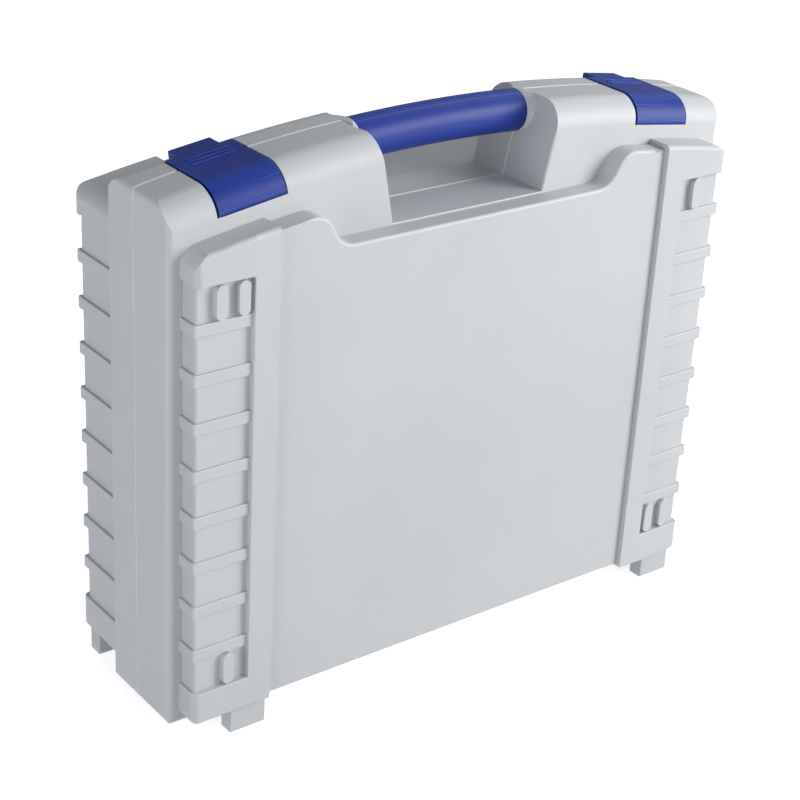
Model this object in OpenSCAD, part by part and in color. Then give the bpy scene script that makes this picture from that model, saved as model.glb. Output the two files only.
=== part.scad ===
// Hard tool case: two moulded shells that meet at an upright parting plane,
// hinged along the bottom, with an arched top, a split carrying handle and two latches.
// Shapes are drawn from the parting plane: the lid points to -Y, the base to +Y,
// and height is counted from the shells' lowest line. place() moves them onto the feet.

/* [Case] */
// Width of the case over its rims
case_w = 400; // [340:1:440]
// Height of the rims at the two sides
side_h = 320; // [290:1:350]
// How much the arched top rises from the sides to the middle
arch_rise = 19; // [12:1:24]
// Thickness of the moulded walls
wall = 3; // [2:0.5:4]
// Radius of the long shoulder where the top turns into a face
shoulder_r = 16; // [12:1:20]
// Radius of the upright rim edges and of the rim corners
edge_r = 4; // [2:0.5:6]

/* [Depths] */
// Depth of the lid's rim in front of the parting plane
lid_rim = 37; // [32:1:46]
// Depth of the base's rim behind the parting plane
base_rim = 28; // [26:1:46]
// How far the lid's tray stands out of its rim
lid_tray = 17; // [12:1:30]
// How far the base's tray stands out of its rim
base_tray = 50; // [20:1:70]
// How far the smooth panel lies behind the ribbed columns
panel_back = 3.5; // [1:0.5:6]

/* [Panel] */
// Drop of the panel's top edge under the arch
panel_drop = 28; // [26:0.5:34]
// Height of the panel's bottom edge
panel_foot = 9; // [4:0.5:14]
// Half width of the notch under the handle at its bottom
notch_half = 98; // [80:1:102]
// Angle of the notch's sides from the horizontal
notch_angle = 62; // [45:1:70]
// Radius that rounds the notch's corners
notch_r = 14; // [4:1:14]

/* [Columns] */
// Gap from the rim's side to the column's side
column_inset = 7; // [4:0.5:14]
// Width of one ribbed column
column_w = 52; // [44:1:60]
// Drop of the column's cap under the arch
column_drop = 24.5; // [20:0.5:26]
// Height of the column's bottom
column_foot = 7.7; // [4:0.1:12]
// Radius of the cap's outer top corner
cap_r = 12; // [6:1:16]
// Radius of the cap's top front edge
cap_edge_r = 3; // [1:0.5:4]
// Radius of the caps' upright outer edges
column_r = 4.5; // [2:0.5:5]
// Radius of the ribs' and fields' upright outer edges
rib_r = 1.5; // [1:0.5:2]
// Width of the plain strip beside the ribs
strip_w = 15.5; // [10:0.5:20]
// Distance from the side's top down to the first rib
cap_d = 61.6; // [58:0.2:70]
// Height of the bottom cap's upper edge
base_cap_top = 28.4; // [20:0.2:36]
// Number of ribs between the caps
rib_count = 8; // [5:1:8]
// Height of one rib
rib_h = 7.3; // [5:0.1:10]
// Depth of the sunk fields at the front
field_front = 4; // [2:0.5:5]
// How far a rib stands out of the fields at the front
rib_front = 1.8; // [1:0.1:2]
// Depth of the sunk fields at the side
field_side = 2; // [1:0.5:3]

/* [Stacking lugs] */
// Width of one stacking lug
lug_w = 7; // [5:0.5:9]
// Height of one stacking lug
lug_h = 20; // [16:0.5:21]
// Distance between the two lugs of a pair
lug_pitch = 14; // [11:0.5:18]
// Distance of the lugs from the column's side
lug_in = 23; // [19:0.5:25]

/* [Handle] */
// Depth of the handle recess under the arch's crown
recess_d = 53.5; // [49:0.5:60]
// Half width of the recess floor
recess_half = 55; // [48:1:60]
// Lean of the recess walls, from the vertical
recess_lean = 12; // [6:1:16]
// Radius of the grip
grip_r = 12.7; // [11:0.1:14]
// Thickness of the grip covers
cover_t = 2.6; // [2:0.1:4]
// Length of a collar between the grip cover and the recess wall, at the grip's underside
collar_w = 1; // [0.5:0.1:4]
// How far the collars flare out of the grip at the recess walls
collar_out = 2.6; // [1:0.1:3]

/* [Latches] */
// Distance of each latch's middle from the case's side
latch_in = 49.5; // [45:0.5:60]
// Width of a latch
latch_w = 42; // [36:1:50]
// Width of a latch's lifting tab
tab_w = 27; // [22:1:34]
// Thickness of a latch's shell
latch_t = 3; // [2.5:0.1:4]
// How far a latch stands out of the shells
latch_out = 0.6; // [0.2:0.1:1]
// How far a latch reaches behind the parting plane
latch_back = 14; // [10:0.5:16]
// How far the tab reaches behind the parting plane
tab_back = 24.5; // [20:0.5:27]
// Thickness of the tab at its end
tab_t = 6.6; // [5:0.1:7]
// Radius of a latch's pivot pin
latch_pin_r = 1.5; // [1:0.1:2]
// Height of the three fine ribs on a latch
latch_rib_h = 0.5; // [0.3:0.1:0.8]
// Distance between the fine ribs
latch_rib_pitch = 4; // [3:0.25:5]
// Depth of a latch pocket under the arch
pocket_d = 7; // [6.9:0.1:9]
// Gap around a latch in its pocket
latch_gap = 1.2; // [0.5:0.1:1.5]

/* [Hinges] */
// Distance of each hinge's middle from the case's side
hinge_in = 108; // [95:1:140]
// Radius of a hinge knuckle
knuckle_r = 4.3; // [3.8:0.1:4.4]
// Width of the lid's knuckle
knuckle_w = 22; // [16:1:30]
// Width of each of the base's two knuckles
ear_w = 12; // [8:1:16]
// Depth of a hinge's seat under a shell
leaf_d = 16; // [10:1:22]
// Thickness of a hinge's seat
leaf_t = 2.6; // [2:0.1:3.4]
// Radius of a hinge pin
hinge_pin_r = 2; // [1.5:0.1:2.2]

/* [Feet] */
// Height of the feet under the shells' lowest line
foot_h = 10; // [9.5:0.5:14]
// Width of a foot
foot_w = 24.5; // [16:0.5:25]
// Depth of a foot
foot_d = 10.5; // [8:0.5:12]
// How far a foot lies behind the column's face
foot_back = 4; // [2:0.5:5]
// Distance of the inner foot's middle from the column's side
foot_inner = 39.5; // [37:0.5:41]
// Distance of the outer foot's middle from the column's side
foot_outer = 15; // [13:0.5:27]

/* [Seal] */
// Width of the seal's visible lip
seal_w = 2.2; // [1.6:0.1:2.4]
// Thickness of the seal's lip between the rims
seal_t = 1.2; // [0.8:0.1:2]
// How far the lip lies inside the rims' outer faces
seal_inset = 0.4; // [0.2:0.1:0.6]
// Depth of the seal's stem in the base
stem_d = 2.4; // [1.5:0.1:4]
// Width of the seal's stem
stem_w = 1.4; // [0.8:0.1:1.5]

/* [Clearances] */
// Running clearance between a pin and its bore
run_gap = 0.05; // [0.02:0.01:0.1]
// Gap between parts that pass each other
pass_gap = 0.3; // [0.2:0.05:0.5]

/* [Hidden] */

grey = [0.80, 0.82, 0.83];
seal_grey = [0.86, 0.87, 0.88];
blue = [0.07, 0.09, 0.42];
steel = [0.62, 0.63, 0.65];

round_fn = 64;
arch_fn = 720;
far = 600;
cut = 1;
hair = 0.01;
thin_r = 0.5;

half_w = case_w / 2;
crown_h = side_h + arch_rise;
arch_r = (half_w * half_w + arch_rise * arch_rise) / (2 * arch_rise);
arch_z = crown_h - arch_r;
arch_span = 44;
arch_core = arch_r - crown_h - 20;
lid_d = lid_rim + lid_tray;
base_d = base_rim + base_tray;
part_y = (lid_d - base_d) / 2;
column_out = half_w - column_inset;
column_in = column_out - column_w;
field_out = column_out - field_side;
strip_in = column_in + strip_w;
recess_floor = crown_h - recess_d;
notch_z = recess_floor - 1;
rib_top = side_h - cap_d;
rib_pitch = (rib_top - base_cap_top) / rib_count;
cap_low = rib_top + rib_pitch - rib_h;
handle_z = crown_h - grip_r;
core_r = grip_r - cover_t;
handle_arc_r = handle_z - arch_z;
cover_len = 2 * (wall_at(handle_z - grip_r) - collar_w);
collar_len = wall_at(handle_z) - cover_len / 2;
bar_len = 2 * wall_at(crown_h);
lug_x = column_out - lug_in;
hinge_x = half_w - hinge_in;
latch_x = half_w - latch_in;
latch_angle = asin(latch_x / arch_r);
pivot_in = 6;
pivot_y = pivot_in - lid_rim;
pivot_z = -11;
latch_low = -14.6;
lip_reach = norm([lid_rim + latch_out + pivot_y, latch_low - pivot_z]);
pivot_room = lip_reach + pass_gap;
boss_r = latch_pin_r + 1.8;
catch_w = 26;
catch_d = 4;
catch_t = 1.2;
tab_y = 10;
latch_rib_y = 1.4;
latch_rib_w = 1.2;
pocket_wall = 2.5;
pin_wall = 4.5;
pin_seat = 3;
hinge_z = -(knuckle_r + 0.5);
lid_edge = seal_t + pass_gap;

// Half width of the handle recess at the height z
function wall_at(z) = recess_half + (z - recess_floor) * tan(recess_lean);

module place() {
    translate([0, part_y, foot_h]) children();
}

// Turns a shape drawn for the lid so that it serves the base
module for_base() {
    rotate([0, 0, 180]) children();
}

// Extrudes a front view (X right, Z up) along Y, from y0 back to y1
module along_y(y0, y1) {
    translate([0, y1, 0]) rotate([90, 0, 0]) linear_extrude(y1 - y0) children();
}

// Extrudes a side view (Y, Z) along X, from x0 to x1
module along_x(x0, x1) {
    translate([x0, 0, 0]) rotate([90, 0, 90]) linear_extrude(x1 - x0) children();
}

// Sharp corner at v between edges that leave at angles a1 and a2, less its round of radius r;
// it reaches a hair past both edges, and so does its circle, so that nothing only grazes
module corner_scrap(v, a1, a2, r) {
    turn = a2 - a1;
    reach = r / tan(turn / 2);
    bisector = [cos(a1 + turn / 2), sin(a1 + turn / 2)];
    middle = v + r / sin(turn / 2) * bisector;
    arm1 = v + reach * [cos(a1), sin(a1)] - middle;
    arm2 = v + reach * [cos(a2), sin(a2)] - middle;
    difference() {
        polygon([v - 2 * hair * bisector, middle + (1 + hair / r) * arm1, middle,
            middle + (1 + hair / r) * arm2]);
        translate(middle) circle(r + hair / 5, $fn = round_fn);
    }
}

// Rectangle from p to q whose corners are round where the list r says so,
// counted from the lower left anticlockwise
module round_rect(p, q, r) {
    difference() {
        translate(p) square(q - p);
        if (r[0] > 0) corner_scrap(p, 0, 90, r[0]);
        if (r[1] > 0) corner_scrap([q[0], p[1]], 90, 180, r[1]);
        if (r[2] > 0) corner_scrap(q, 180, 270, r[2]);
        if (r[3] > 0) corner_scrap([p[0], q[1]], 270, 360, r[3]);
    }
}

// Solid under the arch, lowered by drop, deep along -Y, with a rounded top front edge
module arch_solid(drop, depth, r) {
    top_r = arch_r - drop;
    translate([0, 0, arch_z]) rotate([90, 0, 0]) rotate([0, 0, 90 - arch_span / 2])
        rotate_extrude(angle = arch_span, $fn = arch_fn)
            round_rect([arch_core, 0], [top_r, depth], [0, 0, r, 0]);
}

// Front view of the sharp corners where a side meets the arch, less their rounds
module arch_corner_scraps(side, drop, r) {
    top_r = arch_r - drop;
    middle = [side - r, arch_z + sqrt(pow(top_r - r, 2) - pow(side - r, 2))];
    lean = asin((side - r) / (top_r - r));
    for (m = [0, 1]) mirror([m, 0]) difference() {
        polygon([middle, middle + 3 * r * [sin(lean), cos(lean)], middle + 4 * r * [1, 1],
            middle + 3 * r * [1, 0]]);
        translate(middle) circle(r + hair / 5, $fn = round_fn);
    }
}

// Front view of the handle recess, grown by g on its floor and walls
module recess_2d(g) {
    low = recess_floor - g;
    half_low = recess_half + g / cos(recess_lean) - g * tan(recess_lean);
    high = crown_h + 30;
    half_high = half_low + (high - low) * tan(recess_lean);
    polygon([[-half_low, low], [half_low, low], [half_high, high], [-half_high, high]]);
}

// Front view of the rim, shrunk by g, without the arch
module rim_2d(g) {
    r = max(edge_r - g, thin_r);
    round_rect([-half_w + g, g], [half_w - g, crown_h + cut], [r, r, 0, 0]);
}

module rim_body(depth) {
    difference() {
        intersection() {
            arch_solid(0, depth, shoulder_r);
            along_y(-depth - cut, 0) rim_2d(0);
            linear_extrude(far) round_rect([-half_w, -depth], [half_w, cut], [edge_r, edge_r, 0, 0]);
            along_x(-half_w - cut, half_w + cut)
                round_rect([-depth, 0], [cut, far], [edge_r, 0, 0, 0]);
        }
        along_y(-depth - cut, cut) arch_corner_scraps(half_w, 0, edge_r);
    }
}

module rim_cavity(depth) {
    difference() {
        intersection() {
            arch_solid(wall, depth - wall, shoulder_r - wall);
            along_y(-depth, 0) rim_2d(wall);
        }
        along_y(-depth - cut, cut) recess_2d(wall);
    }
}

// Front view of the smooth panel with the notch under the handle
module panel_2d() {
    low = [notch_half, notch_z];
    slope = [cos(notch_angle), sin(notch_angle)];
    v = low - [0, arch_z];
    reach = sqrt(pow(v * slope, 2) - v * v + pow(arch_r - panel_drop, 2)) - v * slope;
    top = low + reach * slope;
    over = top + 20 * slope;
    difference() {
        translate([-column_in, panel_foot]) square([2 * column_in, crown_h]);
        difference() {
            polygon([[-low[0], low[1]], low, over, [-over[0], over[1]]]);
            for (m = [0, 1]) mirror([m, 0]) corner_scrap(low, notch_angle, 180, notch_r);
        }
        for (m = [0, 1]) mirror([m, 0])
            corner_scrap(top, notch_angle - 180, -asin(top[0] / arch_r), notch_r);
    }
}

module panel_body(rim, depth) {
    intersection() {
        arch_solid(panel_drop, depth - panel_back, 0);
        along_y(-depth, -rim + cut) panel_2d();
    }
}

module tray_cavity(rim, depth) {
    intersection() {
        arch_solid(panel_drop + wall, depth - max(panel_back, field_front) - wall, 0);
        difference() {
            along_y(-depth, -rim + 2 * wall)
                translate([-field_out + wall, panel_foot + wall])
                    square([2 * (field_out - wall), crown_h]);
            along_y(-depth - cut, 0) notch_room_2d();
        }
    }
}

// Front view of the notch, with a wall's thickness around it
module notch_room_2d() {
    low = notch_z - wall;
    half_low = notch_half + wall;
    half_high = half_low + (crown_h - low) / tan(notch_angle);
    polygon([[-half_low, low], [half_low, low], [half_high, crown_h], [-half_high, crown_h]]);
}

// One ribbed column on the +X side
module column(rim, depth) {
    intersection() {
        arch_solid(column_drop, depth, cap_edge_r);
        union() {
            translate([0, 0, column_foot]) linear_extrude(far)
                column_plan(rim, depth - field_front, field_out, rib_r);
            translate([0, 0, column_foot]) linear_extrude(far)
                translate([column_in, -depth]) square([strip_w, depth - rim + cut]);
            for (i = [0 : rib_count - 1])
                translate([0, 0, rib_top - rib_h - i * rib_pitch]) linear_extrude(rib_h)
                    column_plan(rim, depth - field_front + rib_front, column_out, rib_r);
            translate([0, 0, column_foot]) linear_extrude(base_cap_top - column_foot)
                column_plan(rim, depth, column_out, column_r);
            translate([0, 0, cap_low]) linear_extrude(far)
                column_plan(rim, depth, column_out, column_r);
        }
    }
}

// Plan of a column that reaches out to x = side and y = -depth, its outer edge rounded by r
module column_plan(rim, depth, side, r) {
    round_rect([column_in, -depth], [side, -rim + cut], [0, r, 0, 0]);
}

// The rounded outer top corners of both columns' caps
module cap_scraps(rim, depth) {
    along_y(-depth - cut, -rim) arch_corner_scraps(column_out, column_drop, cap_r);
}

module lug(x, z, depth) {
    along_y(-depth, -depth + field_front + cut) {
        translate([x - lug_w / 2, z - lug_h / 2 + lug_w / 2]) square([lug_w, lug_h - lug_w]);
        for (s = [-1, 1])
            translate([x, z + s * (lug_h - lug_w) / 2]) circle(lug_w / 2, $fn = round_fn);
    }
}

// Pairs of lugs straddle the single ones of the next case in a stack
module lugs(depth) {
    high = (rib_top + cap_low) / 2;
    low = base_cap_top + (rib_pitch - rib_h) / 2;
    for (s = [-1, 1]) {
        lug(-lug_x + s * lug_pitch / 2, high, depth);
        lug(lug_x + s * lug_pitch / 2, low, depth);
    }
    lug(lug_x, high, depth);
    lug(-lug_x, low, depth);
}

// Frame of one latch: x along the arch, z out of it, on the side s
module at_latch(s) {
    translate([0, 0, arch_z]) rotate([0, s * latch_angle, 0]) translate([0, 0, arch_r]) children();
}

// Side view of the latch pocket in the lid, grown by g
module lid_pocket_2d(g) {
    translate([pivot_y - 20, -pocket_d - g]) square([20 - pivot_y + 2 * g, pocket_d + 10]);
    translate([pivot_y - 20, pivot_z - g]) square([20, 10]);
    translate([pivot_y, pivot_z]) circle(pivot_room + g, $fn = round_fn);
}

module lid_pocket() {
    x = latch_w / 2 + latch_gap;
    along_x(-x, x) lid_pocket_2d(0);
}

module lid_pocket_block() {
    x = latch_w / 2 + latch_gap + pin_wall;
    along_x(-x, x) lid_pocket_2d(pocket_wall);
}

module base_pocket() {
    wide = latch_w / 2 + latch_gap;
    slim = tab_w / 2 + latch_gap;
    translate([-wide, -far, -pocket_d]) cube([2 * wide, far + latch_back + latch_gap, 20]);
    translate([-slim, -far, -pocket_d]) cube([2 * slim, far + base_rim, 20]);
}

module base_pocket_block() {
    x = latch_w / 2 + latch_gap + pin_wall;
    translate([-x, 0, -pocket_d - pocket_wall]) cube([2 * x, base_rim - 1, 20]);
}

module shell_solid(rim, depth) {
    rim_body(rim);
    panel_body(rim, depth);
    difference() {
        for (m = [0, 1]) mirror([m, 0, 0]) column(rim, depth);
        cap_scraps(rim, depth);
    }
    lugs(depth);
}

module shell_cavity(rim, depth) {
    rim_cavity(rim);
    tray_cavity(rim, depth);
}

module base_shell() {
    color(grey) place() difference() {
        union() {
            for_base() difference() {
                shell_solid(base_rim, base_d);
                shell_cavity(base_rim, base_d);
            }
            intersection() {
                for_base() rim_body(base_rim);
                union() {
                    for (s = [-1, 1]) at_latch(s) base_pocket_block();
                }
            }
        }
        for_base() along_y(-far, cut) recess_2d(0);
        for (s = [-1, 1]) at_latch(s) {
            base_pocket();
            catch_lip();
        }
        seal_stem(0, -cut);
    }
}

module lid_shell() {
    color(grey) place() difference() {
        union() {
            difference() {
                shell_solid(lid_rim, lid_d);
                shell_cavity(lid_rim, lid_d);
            }
            intersection() {
                rim_body(lid_rim);
                union() {
                    for (s = [-1, 1]) at_latch(s) lid_pocket_block();
                }
            }
        }
        along_y(-far, cut) recess_2d(0);
        for (s = [-1, 1]) at_latch(s) {
            lid_pocket();
            latch_pin_solid(latch_pin_r + run_gap, run_gap);
        }
        translate([-far, -lid_edge, -far]) cube([2 * far, far, 2 * far]);
    }
}

// Front view of the rim's whole outline, shrunk by g, with the arch and the recess
module outline_2d(g) {
    difference() {
        intersection() {
            rim_2d(g);
            translate([0, arch_z]) circle(arch_r - g, $fn = arch_fn * 2);
        }
        recess_2d(g);
        arch_corner_scraps(half_w - g, g, max(edge_r - g, thin_r));
    }
}

module seal_ring(g0, g1, y0, y1) {
    difference() {
        along_y(y0, y1) difference() {
            outline_2d(g0);
            outline_2d(g1);
        }
        for (s = [-1, 1]) at_latch(s) {
            x = latch_w / 2 + latch_gap;
            translate([-x, -far, -pocket_d]) cube([2 * x, 2 * far, 20]);
        }
    }
}

// Stem that holds the seal in the base's rim, grown by g; it starts at y = start
module seal_stem(g, start) {
    stem_in = seal_inset + (seal_w - stem_w) / 2;
    seal_ring(stem_in - g, stem_in + stem_w + g, start, stem_d + g);
}

// The seal all round the rim, parted where the latches cross it
module seal() {
    seal_ring(seal_inset, seal_inset + seal_w, -seal_t, 0);
    seal_stem(0, 0);
}

// Room that holds the piece of seal between the latches
module top_room() {
    half = latch_x * 1.02;
    translate([-half, -far, recess_floor - 2 * wall - seal_w]) cube([2 * half, 2 * far, far]);
}

module rim_seal() {
    color(seal_grey) place() difference() {
        seal();
        top_room();
    }
}

module top_seal() {
    color(seal_grey) place() intersection() {
        seal();
        top_room();
    }
}

// Length of bar along the arch of the handle, front half only, between radii r0 and r1
module half_bar(r0, r1, length) {
    span = 2 * asin(length / 2 / handle_arc_r);
    translate([0, 0, arch_z]) rotate([90, 0, 0]) rotate([0, 0, 90 - span / 2])
        rotate_extrude(angle = span, $fn = arch_fn * 2)
            translate([handle_arc_r, 0]) intersection() {
                difference() {
                    circle(r1, $fn = round_fn);
                    if (r0 > 0) circle(r0, $fn = round_fn);
                }
                translate([-2 * grip_r, pass_gap / 2]) square([4 * grip_r, 2 * grip_r]);
            }
}

// Collar that flares from the grip to the recess wall on the side s, front half only,
// and is cut flush with the arch at its top
module collar(s) {
    translate([0, 0, arch_z])
        rotate([0, s * asin((cover_len / 2 + pass_gap) / handle_arc_r), 0])
            translate([0, 0, handle_arc_r]) difference() {
                rotate([0, s * 90, 0])
                    cylinder(h = 2 * collar_len, r1 = grip_r - run_gap,
                        r2 = grip_r + 2 * collar_out, $fn = round_fn);
                translate([-far, -far, grip_r]) cube([2 * far, 2 * far, far]);
                translate([-far, -pass_gap / 2, -far]) cube([2 * far, far, 2 * far]);
            }
}

module handle_half() {
    intersection() {
        along_y(-far, far) recess_2d(0);
        union() {
            half_bar(0, core_r, bar_len);
            for (s = [-1, 1]) collar(s);
        }
    }
}

module handle_bar_lid() {
    color(grey) place() handle_half();
}

module handle_bar_base() {
    color(grey) place() for_base() handle_half();
}

module grip_half() {
    half_bar(core_r + run_gap, grip_r, cover_len);
}

module grip_cover_front() {
    color(blue) place() grip_half();
}

module grip_cover_rear() {
    color(blue) place() for_base() grip_half();
}

// Side view of a latch's curved cover
module latch_cover_2d() {
    middle = [-(lid_rim - shoulder_r), -shoulder_r];
    out_r = shoulder_r + latch_out;
    difference() {
        translate(middle) circle(out_r, $fn = 2 * round_fn);
        translate(middle) circle(out_r - latch_t, $fn = 2 * round_fn);
        translate([middle[0], -far]) square([far, 2 * far]);
        difference() {
            translate([-far, pivot_z - far]) square([2 * far, far]);
            translate([pivot_y, pivot_z]) circle(lip_reach, $fn = 2 * round_fn);
        }
    }
    translate([middle[0], latch_out - latch_t]) square([latch_back - middle[0], latch_t]);
}

// Side view of the web between a latch's pivot and its cover
module latch_web_2d() {
    difference() {
        union() {
            translate([pivot_y, pivot_z]) circle(boss_r, $fn = round_fn);
            translate([pivot_y - boss_r, pivot_z]) square([2 * boss_r, -pivot_z]);
        }
        difference() {
            translate([-far, -far]) square([2 * far, 2 * far]);
            translate([-(lid_rim - shoulder_r), -shoulder_r])
                circle(shoulder_r + latch_out - 1, $fn = 2 * round_fn);
            translate([pivot_y, pivot_z - 20]) square([40, 20]);
        }
        translate([pivot_y, pivot_z]) circle(latch_pin_r + run_gap, $fn = round_fn);
    }
}

// Side view of the lifting tab behind the parting plane
module tab_2d() {
    translate([tab_y, latch_out - tab_t]) square([tab_back - tab_y, tab_t]);
}

module latch() {
    x = latch_w / 2;
    along_x(-x, x) latch_cover_2d();
    along_x(-x, x) latch_web_2d();
    along_x(-tab_w / 2, tab_w / 2) tab_2d();
    for (i = [-1 : 1])
        translate([-tab_w / 2, latch_rib_y + i * latch_rib_pitch, latch_out - cut])
            cube([tab_w, latch_rib_w, latch_rib_h + cut]);
}

module latch_left() {
    color(blue) place() at_latch(-1) latch();
}

module latch_right() {
    color(blue) place() at_latch(1) latch();
}

// Pivot pin with radius r, lengthened by g at each end
module latch_pin_solid(r, g) {
    half = latch_w / 2 + latch_gap + pin_seat + g;
    translate([-half, pivot_y, pivot_z]) rotate([0, 90, 0])
        cylinder(h = 2 * half, r = r, $fn = round_fn);
}

module latch_pin_left() {
    color(steel) place() at_latch(-1) latch_pin_solid(latch_pin_r, 0);
}

module latch_pin_right() {
    color(steel) place() at_latch(1) latch_pin_solid(latch_pin_r, 0);
}

// Lip let into the floor of the base's pocket, which the latch's tab snaps over
module catch_lip() {
    translate([-catch_w / 2, tab_y - pass_gap - catch_d, -pocket_d - catch_t])
        cube([catch_w, catch_d, catch_t + pocket_d + latch_out - tab_t - pass_gap]);
}

module catch_lip_left() {
    color(grey) place() at_latch(-1) catch_lip();
}

module catch_lip_right() {
    color(grey) place() at_latch(1) catch_lip();
}

// Side view of a hinge's seat and knuckle, drawn for the lid
module leaf_2d() {
    difference() {
        union() {
            translate([0, hinge_z]) circle(knuckle_r, $fn = round_fn);
            translate([-leaf_d, -leaf_t]) square([leaf_d - lid_edge, leaf_t]);
            translate([-knuckle_r, hinge_z]) square([knuckle_r - lid_edge, -hinge_z]);
        }
        translate([0, hinge_z]) circle(hinge_pin_r + run_gap, $fn = round_fn);
    }
}

module hinge_lid(s) {
    color(grey) place() translate([s * hinge_x, 0, 0])
        along_x(-knuckle_w / 2, knuckle_w / 2) leaf_2d();
}

// The base's two knuckles on one seat, which keeps clear of the lid's knuckle
module hinge_base(s) {
    x = knuckle_w / 2 + pass_gap;
    seat_y = knuckle_r + 2 * pass_gap;
    color(grey) place() translate([s * hinge_x, 0, 0]) {
        mirror([0, 1, 0]) for (m = [0, 1]) mirror([m, 0, 0]) along_x(x, x + ear_w) leaf_2d();
        translate([-x - cut, seat_y, -leaf_t]) cube([2 * (x + cut), leaf_d - seat_y, leaf_t]);
    }
}

module hinge_pin(s) {
    half = knuckle_w / 2 + pass_gap + ear_w;
    color(steel) place() translate([s * hinge_x - half, 0, hinge_z]) rotate([0, 90, 0])
        cylinder(h = 2 * half, r = hinge_pin_r, $fn = round_fn);
}

module hinge_base_left() {
    hinge_base(-1);
}

module hinge_base_right() {
    hinge_base(1);
}

module hinge_lid_left() {
    hinge_lid(-1);
}

module hinge_lid_right() {
    hinge_lid(1);
}

module hinge_pin_left() {
    hinge_pin(-1);
}

module hinge_pin_right() {
    hinge_pin(1);
}

// One foot under a column's bottom, drawn for the lid
module foot(x) {
    translate([x - foot_w / 2, -lid_d, -foot_h])
        linear_extrude(foot_h + column_foot)
            round_rect([0, foot_back], [foot_w, foot_back + foot_d], [1, 1, 1, 1]);
}

module foot_front_left() {
    color(grey) place() foot(foot_inner - column_out);
}

module foot_front_right() {
    color(grey) place() foot(column_out - foot_outer);
}

module foot_rear_left() {
    color(grey) place() for_base() translate([0, lid_d - base_d, 0])
        foot(column_out - foot_outer);
}

module foot_rear_right() {
    color(grey) place() for_base() translate([0, lid_d - base_d, 0])
        foot(foot_inner - column_out);
}

base_shell();
lid_shell();
rim_seal();
top_seal();
handle_bar_base();
handle_bar_lid();
grip_cover_rear();
grip_cover_front();
latch_left();
latch_right();
latch_pin_left();
latch_pin_right();
catch_lip_left();
catch_lip_right();
hinge_base_left();
hinge_base_right();
hinge_lid_left();
hinge_lid_right();
hinge_pin_left();
hinge_pin_right();
foot_front_left();
foot_front_right();
foot_rear_left();
foot_rear_right();
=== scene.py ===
# Hard tool case: two moulded shells, a split grip, two latches, hinges and feet
import math
import bpy
import bmesh
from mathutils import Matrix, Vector
from mathutils.bvhtree import BVHTree
from mathutils.kdtree import KDTree


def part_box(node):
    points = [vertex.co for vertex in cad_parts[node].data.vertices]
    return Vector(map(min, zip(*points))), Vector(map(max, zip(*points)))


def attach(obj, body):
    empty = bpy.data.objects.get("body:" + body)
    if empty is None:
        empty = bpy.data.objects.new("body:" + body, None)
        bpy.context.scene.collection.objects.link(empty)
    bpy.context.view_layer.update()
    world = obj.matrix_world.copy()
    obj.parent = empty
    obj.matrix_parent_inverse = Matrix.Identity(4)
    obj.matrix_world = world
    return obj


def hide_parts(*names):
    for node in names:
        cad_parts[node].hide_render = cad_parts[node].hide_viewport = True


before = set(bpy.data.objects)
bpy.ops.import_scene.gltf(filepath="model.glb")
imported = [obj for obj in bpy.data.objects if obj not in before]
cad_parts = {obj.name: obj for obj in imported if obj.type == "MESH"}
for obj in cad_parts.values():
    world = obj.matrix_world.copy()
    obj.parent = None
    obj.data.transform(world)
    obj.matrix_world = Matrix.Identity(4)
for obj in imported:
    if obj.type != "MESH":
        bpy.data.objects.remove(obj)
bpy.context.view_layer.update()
mm = 0.001

viewSettings = {
    "place": (-0.663955, -0.833191, 0.668168),
    "turn": (1.118197, -0.052453, -0.644629),
    "lens": 85.0284,
}


def makeCamera(s):
    data = bpy.data.cameras.new("studioCamera")
    data.lens = s["lens"]
    data.sensor_width = 36
    data.clip_start = 0.01
    camera = bpy.data.objects.new("studioCamera", data)
    camera.location = s["place"]
    camera.rotation_euler = s["turn"]
    bpy.context.collection.objects.link(camera)
    bpy.context.scene.camera = camera


makeCamera(viewSettings)

lightSettings = {
    "key": {
        "place": (1.1, -1.14, 0.8), "aim": (0.05, -0.05, 0.2), "size": 1.1,
        "power": 29.5, "colour": (1, 0.99, 0.975),
    },
    "front": {
        "place": (-0.3, -1.6, 0.7), "aim": (0, 0, 0.15), "size": 0.9,
        "power": 3.8, "colour": (0.95, 0.975, 1),
    },
    "left": {
        "place": (-1.36, -0.4, 0.2), "aim": (-0.17, -0.02, 0.17), "size": 0.7,
        "power": 8.4, "colour": (0.96, 0.98, 1),
    },
    "top": {
        "place": (0.55, 0.1, 0.9), "aim": (0.1, 0, 0.34), "size": 0.5,
        "power": 1.0, "colour": (1, 1, 1),
    },
    "world": {"colour": (0.93, 0.96, 1), "strength": 0.32},
    "floor": {"colour": (0.92, 0.92, 0.92), "glow": 0.66, "size": 12},
}


def aimAt(obj, target):
    way = Vector(target) - obj.location
    obj.rotation_euler = way.to_track_quat("-Z", "Y").to_euler()


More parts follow.
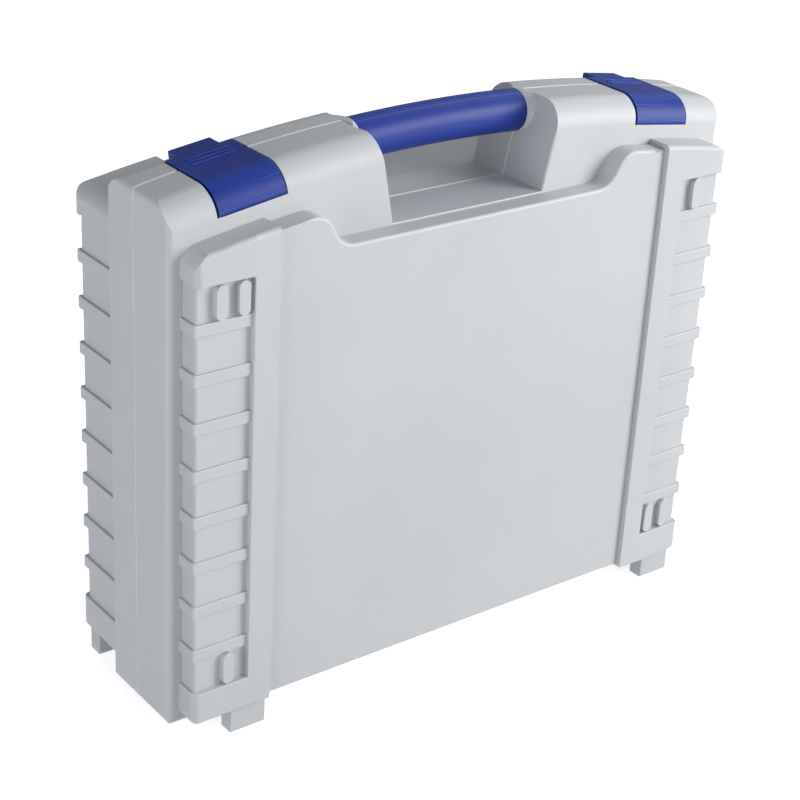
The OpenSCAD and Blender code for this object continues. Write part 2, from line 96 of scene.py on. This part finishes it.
def makeStudio(s):
    for name in ("key", "front", "left", "top"):
        one = s[name]
        data = bpy.data.lights.new(name + "Light", "AREA")
        data.shape = "DISK"
        data.size = one["size"]
        data.energy = one["power"]
        data.color = one["colour"]
        lamp = bpy.data.objects.new(name + "Light", data)
        lamp.location = one["place"]
        aimAt(lamp, one["aim"])
        bpy.context.collection.objects.link(lamp)
    world = bpy.data.worlds.new("softRoom")
    world.use_nodes = True
    back = world.node_tree.nodes["Background"]
    back.inputs["Color"].default_value = (*s["world"]["colour"], 1)
    back.inputs["Strength"].default_value = s["world"]["strength"]
    bpy.context.scene.world = world
    bpy.context.scene.view_settings.view_transform = "Standard"

    half = s["floor"]["size"] / 2
    mesh = bpy.data.meshes.new("paleFloor")
    corners = [(-half, -half, 0), (half, -half, 0), (half, half, 0), (-half, half, 0)]
    mesh.from_pydata(corners, [], [(0, 1, 2, 3)])
    floor = bpy.data.objects.new("paleFloor", mesh)
    bpy.context.collection.objects.link(floor)
    paint = bpy.data.materials.new("paleFloorPaint")
    paint.use_nodes = True
    shader = paint.node_tree.nodes["Principled BSDF"]
    shader.inputs["Base Color"].default_value = (*s["floor"]["colour"], 1)
    shader.inputs["Roughness"].default_value = 0.9
    shader.inputs["Emission Color"].default_value = (1, 1, 1, 1)
    shader.inputs["Emission Strength"].default_value = s["floor"]["glow"]
    mesh.materials.append(paint)
    floor.visible_diffuse = False    # white in the picture, without lighting the case from below


makeStudio(lightSettings)
print("studio ready")


def newNode(tree, kind, place, **inputs):
    node = tree.nodes.new(kind)
    node.location = place
    for name, value in inputs.items():
        node.inputs[name].default_value = value
    return node


def makePlastic(name, s):
    # moulded plastic: fine spark-eroded grain, cloudy tone, paler rubbed edges whose pale colour is partly
    # wear and partly a painted highlight along the edge crowns
    paint = bpy.data.materials.new(name)
    paint.use_nodes = True
    tree = paint.node_tree
    link = tree.links.new
    shader = tree.nodes["Principled BSDF"]
    shader.inputs["IOR"].default_value = 1.49
    shader.inputs["Specular IOR Level"].default_value = s["specular"]
    coords = newNode(tree, "ShaderNodeTexCoord", (-1300, 0))

    clouds = newNode(tree, "ShaderNodeTexNoise", (-1050, 260),
                     Scale=s["cloudScale"], Detail=3.0, Roughness=0.55)
    link(coords.outputs["Object"], clouds.inputs["Vector"])
    tone = newNode(tree, "ShaderNodeValToRGB", (-820, 260))
    tone.color_ramp.elements[0].position = 0.3
    tone.color_ramp.elements[0].color = (*s["deep"], 1)
    tone.color_ramp.elements[1].position = 0.72
    tone.color_ramp.elements[1].color = (*s["pale"], 1)
    link(clouds.outputs["Fac"], tone.inputs["Fac"])

    # painted highlight: pale paint on the crowns of the rounded edges, partly wear and partly standing in
    # for the highlight those edges catch
    wearHighlightMask = newNode(tree, "ShaderNodeAttribute", (-820, 20))
    wearHighlightMask.attribute_name = "edgeWearAndHighlight"
    patches = newNode(tree, "ShaderNodeTexNoise", (-1050, 20), Scale=s["wearHighlightScale"], Detail=4.0)
    link(coords.outputs["Object"], patches.inputs["Vector"])
    wearHighlightAmount = newNode(tree, "ShaderNodeMath", (-600, 20))
    wearHighlightAmount.operation = "MULTIPLY"
    link(wearHighlightMask.outputs["Fac"], wearHighlightAmount.inputs[0])
    link(patches.outputs["Fac"], wearHighlightAmount.inputs[1])
    colour = newNode(tree, "ShaderNodeMix", (-380, 200))
    colour.data_type = "RGBA"
    link(wearHighlightAmount.outputs[0], colour.inputs[0])
    link(tone.outputs["Color"], colour.inputs[6])
    colour.inputs[7].default_value = (*s["wearAndHighlightColour"], 1)
    link(colour.outputs[2], shader.inputs["Base Color"])

    smear = newNode(tree, "ShaderNodeTexNoise", (-1050, -220),
                    Scale=s["smearScale"], Detail=5.0, Roughness=0.6)
    link(coords.outputs["Object"], smear.inputs["Vector"])
    gloss = newNode(tree, "ShaderNodeMapRange", (-820, -220))
    gloss.inputs["To Min"].default_value = s["roughLow"]
    gloss.inputs["To Max"].default_value = s["roughHigh"]
    link(smear.outputs["Fac"], gloss.inputs["Value"])
    link(gloss.outputs["Result"], shader.inputs["Roughness"])

    grain = newNode(tree, "ShaderNodeTexNoise", (-1050, -460),
                    Scale=s["grainScale"], Detail=2.0, Roughness=0.7)
    link(coords.outputs["Object"], grain.inputs["Vector"])
    waves = newNode(tree, "ShaderNodeTexNoise", (-1050, -700), Scale=s["waveScale"], Detail=1.0)
    link(coords.outputs["Object"], waves.inputs["Vector"])
    slow = newNode(tree, "ShaderNodeBump", (-600, -700), Strength=1.0, Distance=s["waveDepth"])
    link(waves.outputs["Fac"], slow.inputs["Height"])
    fine = newNode(tree, "ShaderNodeBump", (-380, -460), Strength=1.0, Distance=s["grainDepth"])
    link(grain.outputs["Fac"], fine.inputs["Height"])
    link(slow.outputs["Normal"], fine.inputs["Normal"])
    link(fine.outputs["Normal"], shader.inputs["Normal"])
    return paint


# the third colour of each plastic is its pale edge paint: partly wear, partly a painted highlight along the
# rounded edges
plasticSettings = {
    "shellPlastic": {
        "deep": (0.487, 0.503, 0.52), "pale": (0.521, 0.537, 0.552), "wearAndHighlightColour": (0.64, 0.655, 0.67),
        "specular": 0.45, "cloudScale": 9.0, "wearHighlightScale": 60.0, "smearScale": 24.0,
        "roughLow": 0.42, "roughHigh": 0.54, "grainScale": 1500.0, "grainDepth": 0.00003,
        "waveScale": 26.0, "waveDepth": 0.00012,
    },
    "footPlastic": {
        "deep": (0.475, 0.492, 0.508), "pale": (0.51, 0.526, 0.541), "wearAndHighlightColour": (0.62, 0.635, 0.65),
        "specular": 0.4, "cloudScale": 30.0, "wearHighlightScale": 90.0, "smearScale": 40.0,
        "roughLow": 0.5, "roughHigh": 0.62, "grainScale": 1600.0, "grainDepth": 0.00004,
        "waveScale": 40.0, "waveDepth": 0.00008,
    },
    "accentPlastic": {
        "deep": (0.005, 0.024, 0.205), "pale": (0.008, 0.035, 0.275), "wearAndHighlightColour": (0.04, 0.1, 0.46),
        "specular": 0.34, "cloudScale": 18.0, "wearHighlightScale": 80.0, "smearScale": 30.0,
        "roughLow": 0.42, "roughHigh": 0.52, "grainScale": 1300.0, "grainDepth": 0.00003,
        "waveScale": 30.0, "waveDepth": 0.00008,
    },
    # the seal's pale grey is partly its own light grey rubber and partly a painted highlight along the
    # parting line
    "sealRubber": {
        "deep": (0.74, 0.76, 0.775), "pale": (0.82, 0.835, 0.85), "wearAndHighlightColour": (0.86, 0.87, 0.88),
        "specular": 0.35, "cloudScale": 40.0, "wearHighlightScale": 100.0, "smearScale": 50.0,
        "roughLow": 0.5, "roughHigh": 0.62, "grainScale": 1500.0, "grainDepth": 0.00002,
        "waveScale": 50.0, "waveDepth": 0.00005,
    },
}
plastics = {name: makePlastic(name, s) for name, s in plasticSettings.items()}

steelSettings = {"deep": (0.42, 0.43, 0.45), "pale": (0.6, 0.61, 0.63), "roughLow": 0.24, "roughHigh": 0.4}


def makeSteel(s):
    # drawn pin stock: fine lines along the pin and a little tarnish
    paint = bpy.data.materials.new("pinSteel")
    paint.use_nodes = True
    tree = paint.node_tree
    link = tree.links.new
    shader = tree.nodes["Principled BSDF"]
    shader.inputs["Metallic"].default_value = 1.0
    coords = newNode(tree, "ShaderNodeTexCoord", (-1000, 0))
    stretch = newNode(tree, "ShaderNodeMapping", (-820, 0))
    stretch.inputs["Scale"].default_value = (20, 1800, 1800)
    link(coords.outputs["Object"], stretch.inputs["Vector"])
    lines = newNode(tree, "ShaderNodeTexNoise", (-620, 0), Scale=1.0, Detail=3.0)
    link(stretch.outputs["Vector"], lines.inputs["Vector"])
    tone = newNode(tree, "ShaderNodeValToRGB", (-400, 160))
    tone.color_ramp.elements[0].color = (*s["deep"], 1)
    tone.color_ramp.elements[1].color = (*s["pale"], 1)
    link(lines.outputs["Fac"], tone.inputs["Fac"])
    link(tone.outputs["Color"], shader.inputs["Base Color"])
    gloss = newNode(tree, "ShaderNodeMapRange", (-400, -80))
    gloss.inputs["To Min"].default_value = s["roughLow"]
    gloss.inputs["To Max"].default_value = s["roughHigh"]
    link(lines.outputs["Fac"], gloss.inputs["Value"])
    link(gloss.outputs["Result"], shader.inputs["Roughness"])
    bump = newNode(tree, "ShaderNodeBump", (-400, -320), Strength=1.0, Distance=0.00001)
    link(lines.outputs["Fac"], bump.inputs["Height"])
    link(bump.outputs["Normal"], shader.inputs["Normal"])
    return paint


pinSteel = makeSteel(steelSettings)
print("materials ready")

softenSettings = {
    "crisp": 24,                # degrees, edges that turn less stay as they are
    "rounds": 5,                # tries at easing off what tears
    "weld": 0.002 * mm,
    "flat": 0.05,               # degrees, faces that turn less are joined
    "longEdge": 10 * mm,        # longer crisp edges are parted near both ends
    "partAt": 3 * mm,
    "room": 0.46,               # share of a face's width that one round may take
    "looked": (0.15, 0.5, 0.85),    # places along an edge where that width is measured
    "strayed": 0.3 * mm,        # farther from the old surface is looked at
    "smallest": 6e-9,           # m2, triangles under this can't be seen
    "turned": 0.2,              # cosine to the old normal under which a face has turned over
    "broad": 1.1 * mm,          # faces wider than this never get the pale edge paint, which is partly wear and partly a painted highlight
    "shadeWithin": 37,          # degrees, faces that turn more keep their own shading
}


def faceWidth(face, spot, along):
    # room across a face from a spot on its edge to the next edge
    inward = face.normal.cross(along)
    if inward.dot(face.calc_center_median() - spot) < 0 and len(face.verts) < 5:
        inward = -inward
    best = 1.0
    corners = face.verts
    flat = [((v.co - spot).dot(along), (v.co - spot).dot(inward)) for v in corners]
    for i in range(len(flat)):
        ax, ay = flat[i - 1]
        bx, by = flat[i]
        if (ax > 0) == (bx > 0) or abs(bx - ax) < 1e-9:
            continue
        y = ay - ax * (by - ay) / (bx - ax)
        if 1e-6 < y < best:
            best = y
    return best


def flattenFaces(mesh):
    # merges the loose triangles and joins the flat ones
    work = bmesh.new()
    work.from_mesh(mesh)
    s = softenSettings
    bmesh.ops.remove_doubles(work, verts=work.verts, dist=s["weld"])
    bmesh.ops.dissolve_limit(work, angle_limit=math.radians(s["flat"]), verts=work.verts, edges=work.edges)
    work.normal_update()
    # long crisp edges are parted near their ends, so that a tight corner doesn't cost
    # the whole edge its round
    for edge in [e for e in work.edges if len(e.link_faces) == 2 and e.calc_length() > s["longEdge"]]:
        if edge.calc_face_angle_signed(0) > math.radians(s["crisp"]):
            rest = bmesh.utils.edge_split(edge, edge.verts[0], s["partAt"] / edge.calc_length())[0]
            longer = max((edge, rest), key=lambda e: e.calc_length())
            shorter = edge if longer is rest else rest
            far = max(longer.verts, key=lambda v: min((v.co - w.co).length for w in shorter.verts))
            bmesh.utils.edge_split(longer, far, s["partAt"] / longer.calc_length())
    work.edges.index_update()
    work.verts.index_update()
    return work


def pickEdges(work, radiusOf):
    # every crisp outward edge, with the rounding that the faces beside it leave room for
    s = softenSettings
    picked = []
    for edge in work.edges:
        if len(edge.link_faces) != 2 or edge.calc_face_angle_signed(0) < math.radians(s["crisp"]):
            continue
        a, b = edge.verts[0].co.copy(), edge.verts[1].co.copy()
        length = (b - a).length
        if length < 1e-6:
            continue
        radius = radiusOf((a + b) / 2, (b - a) / length, edge)
        for face in edge.link_faces:
            loop = next(l for l in face.loops if l.edge == edge)
            along = (loop.link_loop_next.vert.co - loop.vert.co).normalized()
            for t in s["looked"]:
                radius = min(radius, s["room"] * faceWidth(face, a.lerp(b, t), along))
        picked.append({"index": edge.index, "a": a, "b": b, "radius": radius})
    return picked


def bakeModifiers(obj):
    graph = bpy.context.evaluated_depsgraph_get()
    done = obj.evaluated_get(graph)
    baked = bpy.data.meshes.new_from_object(done, preserve_all_data_layers=True, depsgraph=graph)
    obj.modifiers.clear()
    old = obj.data
    obj.data = baked
    bpy.data.meshes.remove(old)


def roundEdges(piece, work, picked, segments):
    widest = max(p["radius"] for p in picked)
    layers = work.edges.layers.float
    layer = layers.get("bevel_weight_edge") or layers.new("bevel_weight_edge")
    work.edges.ensure_lookup_table()
    for p in picked:
        work.edges[p["index"]][layer] = p["radius"] / widest
    work.to_mesh(piece.data)
    bevel = piece.modifiers.new("edges", "BEVEL")
    bevel.limit_method = "WEIGHT"
    bevel.width = widest
    bevel.segments = segments
    bevel.use_clamp_overlap = False
    bevel.loop_slide = False
    bakeModifiers(piece)


def faultySpots(mesh, tree, picked):
    # places where a rounded edge left the surface or turned a face over
    s = softenSettings
    near = s["strayed"]
    reach = KDTree(len(picked))
    for i, p in enumerate(picked):
        reach.insert((p["a"] + p["b"]) / 2, i)
    reach.balance()
    spots = []
    for vert in mesh.vertices:
        gap = tree.find_nearest(vert.co)[3]
        if gap > near:
            limit = picked[reach.find(vert.co)[1]]["radius"]
            if gap > 0.6 * max(limit, near):
                spots.append(vert.co.copy())
    mesh.calc_loop_triangles()
    for part in mesh.loop_triangles:
        if part.area < s["smallest"]:
            continue
        corners = [mesh.vertices[i].co.copy() for i in part.vertices]
        middle = sum(corners, Vector()) / 3
        if part.normal.dot(tree.find_nearest(middle)[1]) < s["turned"]:
            spots.extend(corners + [middle])
    return spots


def softenMesh(piece, radiusOf, segments):
    # rounds the crisp edges and eases off wherever that would tear the surface
    work = flattenFaces(piece.data)
    tree = BVHTree.FromBMesh(work)
    picked = pickEdges(work, radiusOf)
    rounds = softenSettings["rounds"]
    for turn in range(rounds):
        if max(p["radius"] for p in picked) == 0:
            work.to_mesh(piece.data)
            spots = []
            break
        roundEdges(piece, work, picked, segments)
        spots = faultySpots(piece.data, tree, picked)
        if not spots or turn == rounds - 1:
            break
        near = KDTree(len(spots))
        for i, spot in enumerate(spots):
            near.insert(spot, i)
        near.balance()
        for p in picked:
            arm = p["b"] - p["a"]
            reach = max(1.0 * mm, 1.6 * p["radius"])
            for spot, i, gap in near.find_range((p["a"] + p["b"]) / 2, arm.length / 2 + reach):
                t = max(0.0, min(1.0, (spot - p["a"]).dot(arm) / arm.length_squared))
                if (p["a"] + t * arm - spot).length < reach:
                    p["radius"] *= 0.5 if turn == 0 else 0.0
                    break
    work.free()
    print("softened", piece.name, "edges", len(picked), "left", len(spots))


def markWornAndHighlitEdges(mesh):
    # the edge mask is 1 on the crown of every rounded edge and 0 on all that touches a broad face; it
    # places pale paint that is partly edge wear and partly a painted highlight
    work = bmesh.new()
    work.from_mesh(mesh)
    wearHighlightMask = work.verts.layers.float.new("edgeWearAndHighlight")
    wide = softenSettings["broad"]
    broad = {face.index for face in work.faces if 2 * face.calc_area() / face.calc_perimeter() > wide}
    for vert in work.verts:
        if any(face.index in broad for face in vert.link_faces):
            continue
        seams = [e for e in vert.link_edges if len(e.link_faces) == 2]
        turn = max((e.calc_face_angle_signed(0) for e in seams), default=0)
        vert[wearHighlightMask] = min(1.0, max(0.0, (math.degrees(turn) - 13) / 8))
    for face in work.faces:
        face.smooth = True
    work.to_mesh(mesh)
    work.free()


def shadeByArea(mesh):
    # a corner's normal leans to the widest of the faces that turn little from its own,
    # so flats stay flat, rounds run smooth and unrounded edges stay crisp
    limit = math.cos(math.radians(softenSettings["shadeWithin"]))
    around = [[] for vert in mesh.vertices]
    for face in mesh.polygons:
        for v in face.vertices:
            around[v].append((face.normal.copy(), face.area))
    normals = [None] * len(mesh.loops)
    for face in mesh.polygons:
        own = face.normal.copy()
        for loop, v in zip(face.loop_indices, face.vertices):
            lean = sum((area * n for n, area in around[v] if n.dot(own) > limit), own * 1e-12)
            normals[loop] = lean.normalized()
    mesh.normals_split_custom_set(normals)


def finishPiece(piece, body, slot, paint, *nodes):
    markWornAndHighlitEdges(piece.data)
    shadeByArea(piece.data)
    piece.data.materials.clear()
    piece.data.materials.append(paint)
    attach(piece, body)
    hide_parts(*nodes)


def dressNode(node, body, slot, paint, radiusOf, segments=3):
    piece = bpy.data.objects.new(node + "_moulded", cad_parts[node].data.copy())
    bpy.context.collection.objects.link(piece)
    softenMesh(piece, radiusOf, segments)
    finishPiece(piece, body, slot, paint, node)


shellSettings = {
    "edge": 0.5 * mm,           # crisp moulded edges
    "panel": 1.8 * mm,          # outline of the smooth panel and its notch
    "cap": 2.0 * mm,            # top edge of the column caps
    "strip": 1.1 * mm,          # inner edge of the column strips
    "wall": 1.6 * mm,           # front and rear edges of the handle recess
    "foot": 2.0 * mm,           # lower edges of the columns
    "corner": 2.2 * mm,         # where three rounds of the rim meet
    # distances from the middle planes and heights that tell these edges apart
    "panelFace": 0.0625, "columnFace": 0.066, "columnIn": 0.141, "columnOut": 0.1925,
    "capTop": 0.288, "capDepth": 0.06, "columnLow": 0.0195, "columnDepth": 0.05,
    "rimSide": 0.1945, "rimFront": 0.04, "rimLow": 0.016, "rimHigh": 0.3,
    "recessHalf": 0.055, "recessFloor": 0.2955, "recessLean": 12, "recessFront": 0.02, "aboveFloor": 0.0015,
    "planeNear": 0.3 * mm, "wallNear": 0.4 * mm, "lineNear": 1 * mm,
}


def shellRadius(spot, along, edge):
    s = shellSettings
    depth = abs(spot.y)
    side = abs(spot.x)
    if abs(depth - s["panelFace"]) < s["planeNear"] and side < s["columnIn"] - s["lineNear"]:
        return s["panel"]
    if abs(depth - s["columnFace"]) < s["planeNear"] and abs(side - s["columnIn"]) < s["lineNear"]:
        return s["strip"]
    if (depth > s["capDepth"] or side > s["columnOut"]) and spot.z > s["capTop"]:
        return s["cap"]
    if depth > s["columnDepth"] and spot.z < s["columnLow"]:
        return s["foot"]
    atEnds = spot.z < s["rimLow"] or spot.z > s["rimHigh"]
    if side > s["rimSide"] and s["rimFront"] < depth < s["columnDepth"] and atEnds:
        return s["corner"]
    rise = spot.z - s["recessFloor"]
    wallLine = s["recessHalf"] + rise * math.tan(math.radians(s["recessLean"]))
    if rise > s["aboveFloor"] and depth > s["recessFront"] and abs(side - wallLine) < s["wallNear"]:
        return s["wall"]
    return s["edge"]


for node, body in (("lid_shell", "lid"), ("base_shell", "base")):
    dressNode(node, body, "shell_plastic", plastics["shellPlastic"], shellRadius)
print("shells ready")

gripSettings = {
    "parting": -0.012,          # y of the plane where the shells part
    "railRadius": 1.04943,      # arch that the grip's axis follows
    "length": 0.11994,
    "outer": 12.7 * mm,
    "inner": 10.15 * mm,
    "partGap": 0.15 * mm,       # from the parting plane to each cover
    "seamRound": 0.7 * mm,
    "endRound": 1.6 * mm,
    "grooves": (3.2 * mm, 5.6 * mm),    # fine lines beside the top seam, measured round the outside
    "grooveWide": 0.8 * mm,
    "grooveDeep": 0.22 * mm,
    "roundSteps": 48,
    "railPoints": 220,
}


def coverOutline(s, side):
    # half ring: x runs out from the arch's centre, y away from the parting plane
    outer, inner, gap, turn = s["outer"], s["inner"], s["partGap"], s["seamRound"]
    first = math.asin((gap + turn) / (outer - turn))
    reach = (outer - turn) * math.cos(first)
    lip = [-math.pi / 2 + (first + math.pi / 2) * i / 6 for i in range(6)]
    points = [(reach + turn * math.cos(a), gap + turn + turn * math.sin(a)) for a in lip]
    angles = [first + (math.pi - 2 * first) * i / s["roundSteps"] for i in range(s["roundSteps"] + 1)]
    for at in s["grooves"]:
        angles += [(at + t * s["grooveWide"] / 2) / outer for t in (-1, -0.6, -0.2, 0.2, 0.6, 1)]
    for a in sorted(angles):
        off = min(abs(a * outer - at) for at in s["grooves"]) / (s["grooveWide"] / 2)
        radius = outer - s["grooveDeep"] * max(0.0, 1 - off * off)
        points.append((radius * math.cos(a), radius * math.sin(a)))
    points += [(-reach - turn * math.cos(a), gap + turn + turn * math.sin(a)) for a in reversed(lip)]
    last = math.asin(gap / inner)
    for i in range(s["roundSteps"] // 2 + 1):
        a = math.pi - last - (math.pi - 2 * last) * 2 * i / s["roundSteps"]
        points.append((inner * math.cos(a), inner * math.sin(a)))
    points = [(x, side * y) for x, y in points]
    return points if side > 0 else points[::-1]


def makeSweepTree():
    # sweeps the object's outline along the arch and eases both ends
    tree = bpy.data.node_groups.new("sweepAlongArch", "GeometryNodeTree")
    face = tree.interface
    face.new_socket("Geometry", in_out="INPUT", socket_type="NodeSocketGeometry")
    for name in ("Rail Radius", "Rail Length", "Cover Radius", "End Round"):
        face.new_socket(name, in_out="INPUT", socket_type="NodeSocketFloat")
    face.new_socket("Rail Points", in_out="INPUT", socket_type="NodeSocketInt")
    face.new_socket("Rail Centre", in_out="INPUT", socket_type="NodeSocketVector")
    face.new_socket("Finish", in_out="INPUT", socket_type="NodeSocketMaterial")
    face.new_socket("Geometry", in_out="OUTPUT", socket_type="NodeSocketGeometry")
    link = tree.links.new
    given = newNode(tree, "NodeGroupInput", (-1500, 0))

    def maths(kind, place, first, second=None):
        node = newNode(tree, "ShaderNodeMath", place)
        node.operation = kind
        for socket, value in zip(node.inputs, (first, second)):
            if isinstance(value, (int, float)):
                socket.default_value = value
            elif value is not None:
                link(value, socket)
        return node.outputs[0]

    ratio = maths("DIVIDE", (-1300, 300), given.outputs["Rail Length"], given.outputs["Rail Radius"])
    halfSpan = maths("ARCSINE", (-980, 300), maths("MULTIPLY", (-1140, 300), ratio, 0.5))
    rail = newNode(tree, "GeometryNodeCurveArc", (-600, 200))
    rail.mode = "RADIUS"
    link(given.outputs["Rail Points"], rail.inputs["Resolution"])
    link(given.outputs["Rail Radius"], rail.inputs["Radius"])
    link(maths("SUBTRACT", (-800, 380), math.pi / 2, halfSpan), rail.inputs["Start Angle"])
    link(maths("MULTIPLY", (-800, 240), halfSpan, 2.0), rail.inputs["Sweep Angle"])
    upright = newNode(tree, "GeometryNodeSetCurveNormal", (-400, 200))
    upright.mode = "Z_UP"
    link(rail.outputs["Curve"], upright.inputs["Curve"])

    spot = newNode(tree, "GeometryNodeSplineParameter", (-1300, -200))
    whole = newNode(tree, "GeometryNodeSplineLength", (-1300, -350))
    left = maths("SUBTRACT", (-1100, -300), whole.outputs["Length"], spot.outputs["Length"])
    nearest = maths("MINIMUM", (-940, -250), spot.outputs["Length"], left)
    along = maths("DIVIDE", (-780, -250), nearest, given.outputs["End Round"])
    share = maths("MINIMUM", (-620, -250), along, 1.0)
    rest = maths("SUBTRACT", (-460, -250), 1.0, share)
    square = maths("MULTIPLY", (-380, -400), rest, rest)
    bend = maths("SQRT", (-140, -250), maths("SUBTRACT", (-300, -250), 1.0, square))
    scale = maths("DIVIDE", (20, -400), given.outputs["End Round"], given.outputs["Cover Radius"])
    drop = maths("MULTIPLY", (180, -250), maths("SUBTRACT", (20, -250), 1.0, bend), scale)
    # the outside is drawn in by half the end round, so that the inside still clears the bar's end
    taper = newNode(tree, "GeometryNodeSetCurveRadius", (400, 200))
    link(upright.outputs["Curve"], taper.inputs["Curve"])
    half = maths("MULTIPLY", (260, -400), drop, 0.5)
    link(maths("SUBTRACT", (340, -250), 1.0, half), taper.inputs["Radius"])

    outline = newNode(tree, "GeometryNodeMeshToCurve", (400, 0))
    link(given.outputs["Geometry"], outline.inputs["Mesh"])
    sweep = newNode(tree, "GeometryNodeCurveToMesh", (600, 100))
    sweep.inputs["Fill Caps"].default_value = True
    link(taper.outputs["Curve"], sweep.inputs["Curve"])
    link(outline.outputs["Curve"], sweep.inputs["Profile Curve"])
    stand = newNode(tree, "GeometryNodeTransform", (800, 100))
    stand.inputs["Rotation"].default_value = (math.pi / 2, 0, 0)
    link(sweep.outputs["Mesh"], stand.inputs["Geometry"])
    link(given.outputs["Rail Centre"], stand.inputs["Translation"])
    solid = newNode(tree, "GeometryNodeRealizeInstances", (1000, 100))
    link(stand.outputs["Geometry"], solid.inputs["Geometry"])
    finish = newNode(tree, "GeometryNodeSetMaterial", (1200, 100))
    link(solid.outputs["Geometry"], finish.inputs["Geometry"])
    link(given.outputs["Finish"], finish.inputs["Material"])
    out = newNode(tree, "NodeGroupOutput", (1400, 100))
    link(finish.outputs["Geometry"], out.inputs["Geometry"])
    return tree


def buildCover(tree, s, node, body, side):
    outline = coverOutline(s, side)
    count = len(outline)
    mesh = bpy.data.meshes.new(node + "_swept")
    mesh.from_pydata([(x, y, 0) for x, y in outline], [(i, (i + 1) % count) for i in range(count)], [])
    piece = bpy.data.objects.new(node + "_swept", mesh)
    bpy.context.collection.objects.link(piece)
    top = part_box(node)[1][2]
    values = {
        "Rail Radius": s["railRadius"], "Rail Length": s["length"], "Cover Radius": s["outer"],
        "End Round": s["endRound"], "Rail Points": s["railPoints"],
        "Rail Centre": (0.0, s["parting"], top - s["outer"] - s["railRadius"]),
        "Finish": plastics["accentPlastic"],
    }
    sweep = piece.modifiers.new("sweep", "NODES")
    sweep.node_group = tree
    for socket in tree.interface.items_tree:
        if socket.in_out == "INPUT" and socket.name in values:
            sweep[socket.identifier] = values[socket.name]
    bakeModifiers(piece)
    finishPiece(piece, body, "accent_plastic", plastics["accentPlastic"], node)
    print("swept", node, "faces", len(piece.data.polygons))


sweepTree = makeSweepTree()
buildCover(sweepTree, gripSettings, "grip_cover_front", "lid", -1)
buildCover(sweepTree, gripSettings, "grip_cover_rear", "base", 1)

sides = ("left", "right")


def dressTrim(s, node, body):
    dressNode(node, body, s["slot"], plastics[s["paint"]], lambda spot, along, edge: s["round"])


latchSettings = {"slot": "accent_plastic", "paint": "accentPlastic", "round": 0.7 * mm}
for side in sides:
    dressTrim(latchSettings, "latch_" + side, "latch_" + side)

barSettings = {"slot": "shell_plastic", "paint": "shellPlastic", "round": 0}
for body in ("lid", "base"):
    dressTrim(barSettings, "handle_bar_" + body, body)

catchSettings = {"slot": "shell_plastic", "paint": "shellPlastic", "round": 0.3 * mm}
for side in sides:
    dressTrim(catchSettings, "catch_lip_" + side, "base")

hingeSettings = {"slot": "shell_plastic", "paint": "shellPlastic", "round": 0.4 * mm}
for body in ("base", "lid"):
    for side in sides:
        dressTrim(hingeSettings, "hinge_" + body + "_" + side, body)

footSettings = {"slot": "foot_plastic", "paint": "footPlastic", "round": 1.6 * mm}
for place, body in (("front", "lid"), ("rear", "base")):
    for side in sides:
        dressTrim(footSettings, "foot_" + place + "_" + side, body)

sealSettings = {"slot": "seal", "paint": "sealRubber", "round": 0.3 * mm}
for node in ("rim_seal", "top_seal"):
    dressTrim(sealSettings, node, "base")

for node in ("latch_pin_left", "latch_pin_right", "hinge_pin_left", "hinge_pin_right"):
    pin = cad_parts[node]
    pin.data.materials.clear()
    pin.data.materials.append(pinSteel)
print("trim ready")
